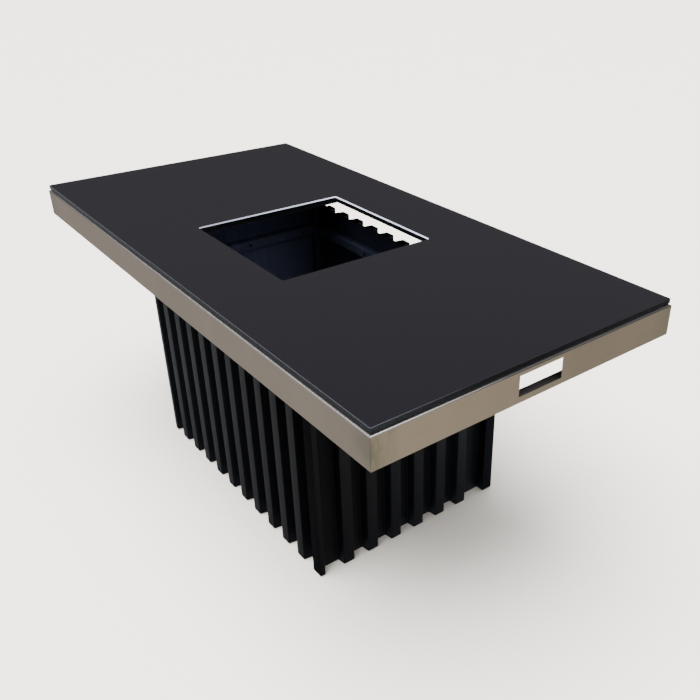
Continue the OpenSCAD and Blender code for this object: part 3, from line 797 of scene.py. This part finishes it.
class TABLE_OT_glass(bpy.types.Operator):
    """Black glass sheet with a square opening and bevelled edges"""

    bl_idname = "table.glass"
    bl_label = "Glass top"

    def execute(self, context):
        s, c = context.scene.table_sizes, context.scene.table_colours
        low, high = GLASS_LOW.z, GLASS_HIGH.z
        half = np.array([GLASS_HIGH.x, GLASS_HIGH.y])
        a, b = s.glass_arris, s.opening_bevel
        # One row for each turn of the sheet's section: outer edge first, then the opening
        outer = [(a, low), (0.0, low + a), (0.0, high - a), (a, high)]
        inner = [(b, high), (0.0, high - b), (0.0, low + a), (a, low)]
        rings = [
            (rounded_loop(half[0] - d, half[1] - d, s.glass_corner - d, s.round_steps), z)
            for d, z in outer
        ] + [
            (rounded_loop(s.opening_side / 2 + d, s.opening_side / 2 + d,
                          s.opening_corner + d, s.round_steps), z)
            for d, z in inner
        ]
        points = np.stack([np.column_stack([loop, np.full(len(loop), z)])
                           for loop, z in rings])
        faces = grid_faces(points.shape[0], points.shape[1], True, True)
        # Face rows: arris, side, arris, top, bevel, side, arris, underside
        kinds = np.array([2, 2, 3, 0, 1, 2, 2, 0])
        finish_of = np.broadcast_to(kinds[:, None], faces.shape[:2]).ravel()
        finishes = [black_glass(c.glass),
                    # Painted shade: the bevel is darker towards the front, the outer arris
                    # darker away from the front edge
                    ground_edge("ground_opening_bevel", c.glass_bevel, 0.45, -0.24, 0.24),
                    polished_edge(c.glass_edge),
                    ground_edge("ground_outer_arris", shade(c.glass_bevel, 0.075),
                                0.12, -0.20, -0.42)]
        piece = make_piece("glass_sheet", points, faces.reshape(-1, 4).tolist(),
                           finishes, finish_of)
        dress(piece, "glass", "glass_top")
        return {"FINISHED"}


class TABLE_OT_apron(bpy.types.Operator):
    """Four bent steel aprons that meet in mitred seams, one with a cut-out"""

    bl_idname = "table.apron"
    bl_label = "Steel apron"

    def execute(self, context):
        s, c = context.scene.table_sizes, context.scene.table_colours
        # The short sides get the warmer, brighter copy of the steel, as painted light
        finishes = [brushed_steel("brushed_steel_along_x", c.steel, 0),
                    brushed_steel("painted_light_steel_along_y", c.steel_end_painted_light, 1)]
        bend, painted_shade_inside = bend_painted_highlight(c.bend), inside_painted_shade(c.painted_shade_inside)
        for side, name in enumerate(SIDES):
            node = "apron_" + name
            first, last, out, z_low, z_high = side_box(node, side)
            points, faces, kinds = self.channel(
                s, (last - first) / 2, z_low, z_high, name == "right")
            piece = make_piece("steel_apron_" + name, to_side(points, side, out),
                               faces, [finishes[side % 2], bend, painted_shade_inside], kinds)
            dress(piece, "steel", node)
        return {"FINISHED"}

    def channel(self, s, half, z_low, z_high, has_slot):
        """Bent channel of sheet, x along the side and y inwards from its face.

        Its section runs from the top flange's edge round the outer face to the bottom
        flange's edge, and back a sheet's thickness inside. Each section point is carried
        along x. The first and last columns stop short by the point's own distance
        inwards, which gives the mitres. Two rows of the upright face bend round the
        cut-out: they follow its lower and upper outline, the corner arcs included. The
        last array marks each face: 1 on the upper bend, 2 on the top flange and the inner
        skin, and 0 elsewhere."""
        flange = APRON_HIGH.y - APRON_LOW.y
        r, t = s.bend, s.sheet
        turn = np.radians(np.linspace(90, 180, s.round_steps + 1))
        wall_low, wall_high = z_low + s.slot_rise, z_low + s.slot_rise + s.slot_height
        middle, dip = self.cut_out(s) if has_slot else ([0.0], s.slot_corner)
        columns = np.concatenate([[-half, -half + 2 * flange], middle,
                                  [half - 2 * flange, half]])
        lift = np.full(len(columns), s.slot_corner)
        lift[2:-2] = dip

        def section(radius, inner):
            """(inward, height) of one skin, top flange first, with a height a column."""
            bend_y = r + radius * np.cos(turn)
            top_z = z_high - r + radius * np.sin(turn)
            bottom_z = z_low + r - radius * np.sin(turn)
            y = np.concatenate([[flange], bend_y, [inner, inner], bend_y[::-1], [flange]])
            one = np.ones(len(columns))
            z = [one * (z_high - inner)] + [one * v for v in top_z]
            z += [wall_high - lift, wall_low + lift]
            z += [one * v for v in bottom_z[::-1]] + [one * (z_low + inner)]
            return y, np.array(z)

        outer_y, outer_z = section(r, 0.0)
        inner_y, inner_z = section(r - t, t)
        y = np.concatenate([outer_y, inner_y[::-1]])
        z = np.concatenate([outer_z, inner_z[::-1]])
        x = np.broadcast_to(columns, z.shape).copy()
        x[:, 0] = -(half - y)
        x[:, -1] = half - y
        points = np.stack([x, np.broadcast_to(y[:, None], z.shape), z], axis=-1)
        rows, wide = z.shape
        faces = grid_faces(rows, wide, close_rows=True)
        n = len(outer_y)
        keep = np.ones(faces.shape[:2], bool)
        extra = []
        if has_slot:
            # The row of faces under the upper bend, on the outer and the inner skin
            upper = s.round_steps + 2
            keep[[upper, rows - 2 - upper], 2:wide - 3] = False
            at = np.arange(2, wide - 3)
            for row in (upper, upper + 1):
                back = rows - 1 - row
                extra.append(np.stack([row * wide + at, row * wide + at + 1,
                                       back * wide + at + 1, back * wide + at], axis=-1))
            extra += [self.through_sheet(np.array([upper]), column, rows, wide)
                      for column in (2, wide - 3)]
        extra += [self.through_sheet(np.arange(n - 1), column, rows, wide)
                  for column in (0, wide - 1)]
        row = np.broadcast_to(np.arange(rows)[:, None], faces.shape[:2])[keep]
        more = sum(len(part) for part in extra)
        kind = np.where((row >= 1) & (row <= s.round_steps), 1, 0)
        # Painted shade: the top flange and the inner skin get the dark inside finish
        kind[(row == 0) | (row >= n - 1)] = 2
        kinds = np.concatenate([kind, np.zeros(more, int)])
        return points, np.concatenate([faces[keep]] + extra).tolist(), kinds

    def cut_out(self, s):
        """The cut-out's x along the side, and how far its corner arcs reach in there.

        At a distance d from its side, an arc of radius k reaches in by
        k - sqrt(k * k - (k - d) * (k - d)), and by nothing past k."""
        k, reach = s.slot_corner, s.slot_width / 2
        arc = k * (1 - np.cos(np.radians(np.linspace(0, 90, SLOT_STEPS + 1))))
        x = np.concatenate([-reach + arc, (reach - arc)[::-1]])
        d = np.minimum(np.abs(x + reach), np.abs(x - reach)).clip(0, k)
        return x, k - np.sqrt(np.clip(k * k - (k - d) ** 2, 0, None))

    def through_sheet(self, row, column, rows, wide):
        """Faces through the sheet at a column, from each given row to the next."""
        return np.stack([row, row + 1, rows - 2 - row, rows - 1 - row],
                        axis=-1) * wide + column


class TABLE_OT_fluted_panels(bpy.types.Operator):
    """Four fluted panels, each lapping over its neighbour at one end"""

    bl_idname = "table.fluted_panels"
    bl_label = "Fluted panels"

    def execute(self, context):
        s, c = context.scene.table_sizes, context.scene.table_colours
        # The rib faces' finish is painted paler towards the top, as painted light
        finishes = [fluted_paint("fluted_black_paint", c.paint, 0.36, 0.12),
                    fluted_paint("sawn_panel_end", c.paint, 0.62, 0.04),
                    fluted_paint("painted_light_rib_face", c.paint, 0.36, 0.12, c.rib_face_painted_light),
                    rolled_back(c.panel_back)]
        starts = (s.front_start, s.end_start, s.back_start, s.end_start)
        for side, name in enumerate(SIDES):
            node = "fluted_" + name
            first, last, out, z_low, z_high = side_box(node, side)
            points, faces, kinds = self.panel(s, last - first, z_low, z_high, starts[side])
            points[..., 0] += first
            piece = make_piece("fluted_panel_" + name, to_side(points, side, out),
                               faces, finishes, kinds)
            dress(piece, "panel", node)
        return {"FINISHED"}

    def panel(self, s, length, z_low, z_high, start):
        """Fluted board, x from its left end and y inwards from the rib faces.

        Its outline seen from above has a flat back and, in front, a flat face for each
        rib, flanks that slope sideways, and flat valleys, with every corner rounded. The
        outline is carried up through four heights, drawn in a little at the first and
        last, and closed by two flat caps. The last array marks each face: 1 on the sawn
        end that laps over the next panel, 2 on the rib faces, 3 on the back and the top,
        and 0 elsewhere."""
        depth = PANEL_HIGH.y - PANEL_LOW.y
        h, w, slope = s.rib_height, s.rib_width / 2, s.rib_slope
        room = length - start - w - slope
        middle = start + s.rib_pitch * np.arange(int(room / s.rib_pitch) + 1)
        rib = np.array([[-w - slope, h], [-w, 0.0], [w, 0.0], [w + slope, h]])
        ribs = (rib[None] + np.stack([middle, 0 * middle], axis=-1)[:, None]).reshape(-1, 2)
        line = np.concatenate([
            [[length / 2, depth], [0.0, depth], [0.0, 0.0], [s.edge_rib, 0.0],
             [s.edge_rib + slope, h]], ribs, [[length, h], [length, depth],
             [length / 2 + BACK_SEAM, depth]]])
        radii = np.where(line[1:-1, 1] == 0.0, s.rib_round, s.valley_round)
        at_back = (line[1:-1, 1] == depth) | (line[1:-1, 0] == length)
        radii = np.where(at_back, PANEL_EASE, radii)
        loop = rounded_line(line, radii, s.round_steps)
        # The line runs with the solid on its left, so a move to the left draws it in
        drawn = inset_loop(loop, PANEL_EASE)
        heights = [(drawn, z_low), (loop, z_low + PANEL_EASE), (loop, z_high - PANEL_EASE),
                   (drawn, z_high)]
        points = np.stack([np.column_stack([p, np.full(len(p), z)]) for p, z in heights])
        count = len(loop)
        sides = grid_faces(4, count, close_columns=True).reshape(-1, 4).tolist()
        caps = [list(range(count))[::-1], list(range(3 * count, 4 * count))]
        along = np.maximum(loop[:, 0], np.roll(loop[:, 0], -1))
        inwards = (loop[:, 1] + np.roll(loop[:, 1], -1)) / 2
        kind = np.where(inwards > depth - NEAR_BACK, 3,
                        np.where(inwards < NEAR_RIB, 2, 0))
        kind[along < NEAR_SAWN] = 1
        return points, sides + caps, np.concatenate([np.tile(kind, 3), [0, 3]])


class TABLE_OT_hidden_build(bpy.types.Operator):
    """Finishes of the tubes, plates, stays, board and pads that keep their CAD shape"""

    bl_idname = "table.hidden_build"
    bl_label = "Frame, board and pads"

    def execute(self, context):
        c = context.scene.table_colours
        give_finish(FRAME_NODES, powder_coat(c.powder))
        give_finish(["top_board"], black_board(c.board))
        give_finish(["edge_pads", "opening_pads"], closed_foam(c.foam))
        return {"FINISHED"}


class TABLE_OT_hardware(bpy.types.Operator):
    """Finishes of the screws and foot glides"""

    bl_idname = "table.hardware"
    bl_label = "Screws and glides"

    def execute(self, context):
        c = context.scene.table_colours
        give_finish(SCREW_NODES, zinc_plate("zinc_plated_screw", c.zinc))
        give_finish(["panel_screws"], zinc_plate("blackened_screw", shade(c.zinc, 0.03)))
        give_finish(["foot_glides"], glide_plastic(c.powder))
        return {"FINISHED"}


class TABLE_PT_sidebar(bpy.types.Panel):
    """Lists the table's sizes, colours and pieces"""

    bl_idname = "TABLE_PT_sidebar"
    bl_label = "Burner dining table"
    bl_space_type = "VIEW_3D"
    bl_region_type = "UI"
    bl_category = "Table"

    def draw(self, context):
        layout = self.layout
        for group in (context.scene.table_sizes, context.scene.table_colours,
                      context.scene.table_stage):
            box = layout.box()
            for key in group.bl_rna.properties.keys():
                if key not in ("rna_type", "name"):
                    box.prop(group, key)
        for operator in OPERATORS:
            layout.operator(operator.bl_idname)


OPERATORS = (TABLE_OT_stage, TABLE_OT_glass, TABLE_OT_apron, TABLE_OT_fluted_panels,
             TABLE_OT_hidden_build, TABLE_OT_hardware)
CLASSES = (TableSizes, TableColours, TableStage, *OPERATORS, TABLE_PT_sidebar)


def register():
    for cls in CLASSES:
        bpy.utils.register_class(cls)
    bpy.types.Scene.table_sizes = PointerProperty(type=TableSizes)
    bpy.types.Scene.table_colours = PointerProperty(type=TableColours)
    bpy.types.Scene.table_stage = PointerProperty(type=TableStage)


def unregister():
    del bpy.types.Scene.table_stage
    del bpy.types.Scene.table_colours
    del bpy.types.Scene.table_sizes
    for cls in reversed(CLASSES):
        bpy.utils.unregister_class(cls)


def main():
    register()
    bpy.ops.table.stage()
    bpy.ops.table.glass()
    bpy.ops.table.apron()
    bpy.ops.table.fluted_panels()
    bpy.ops.table.hidden_build()
    bpy.ops.table.hardware()


if __name__ == "__main__":
    main()
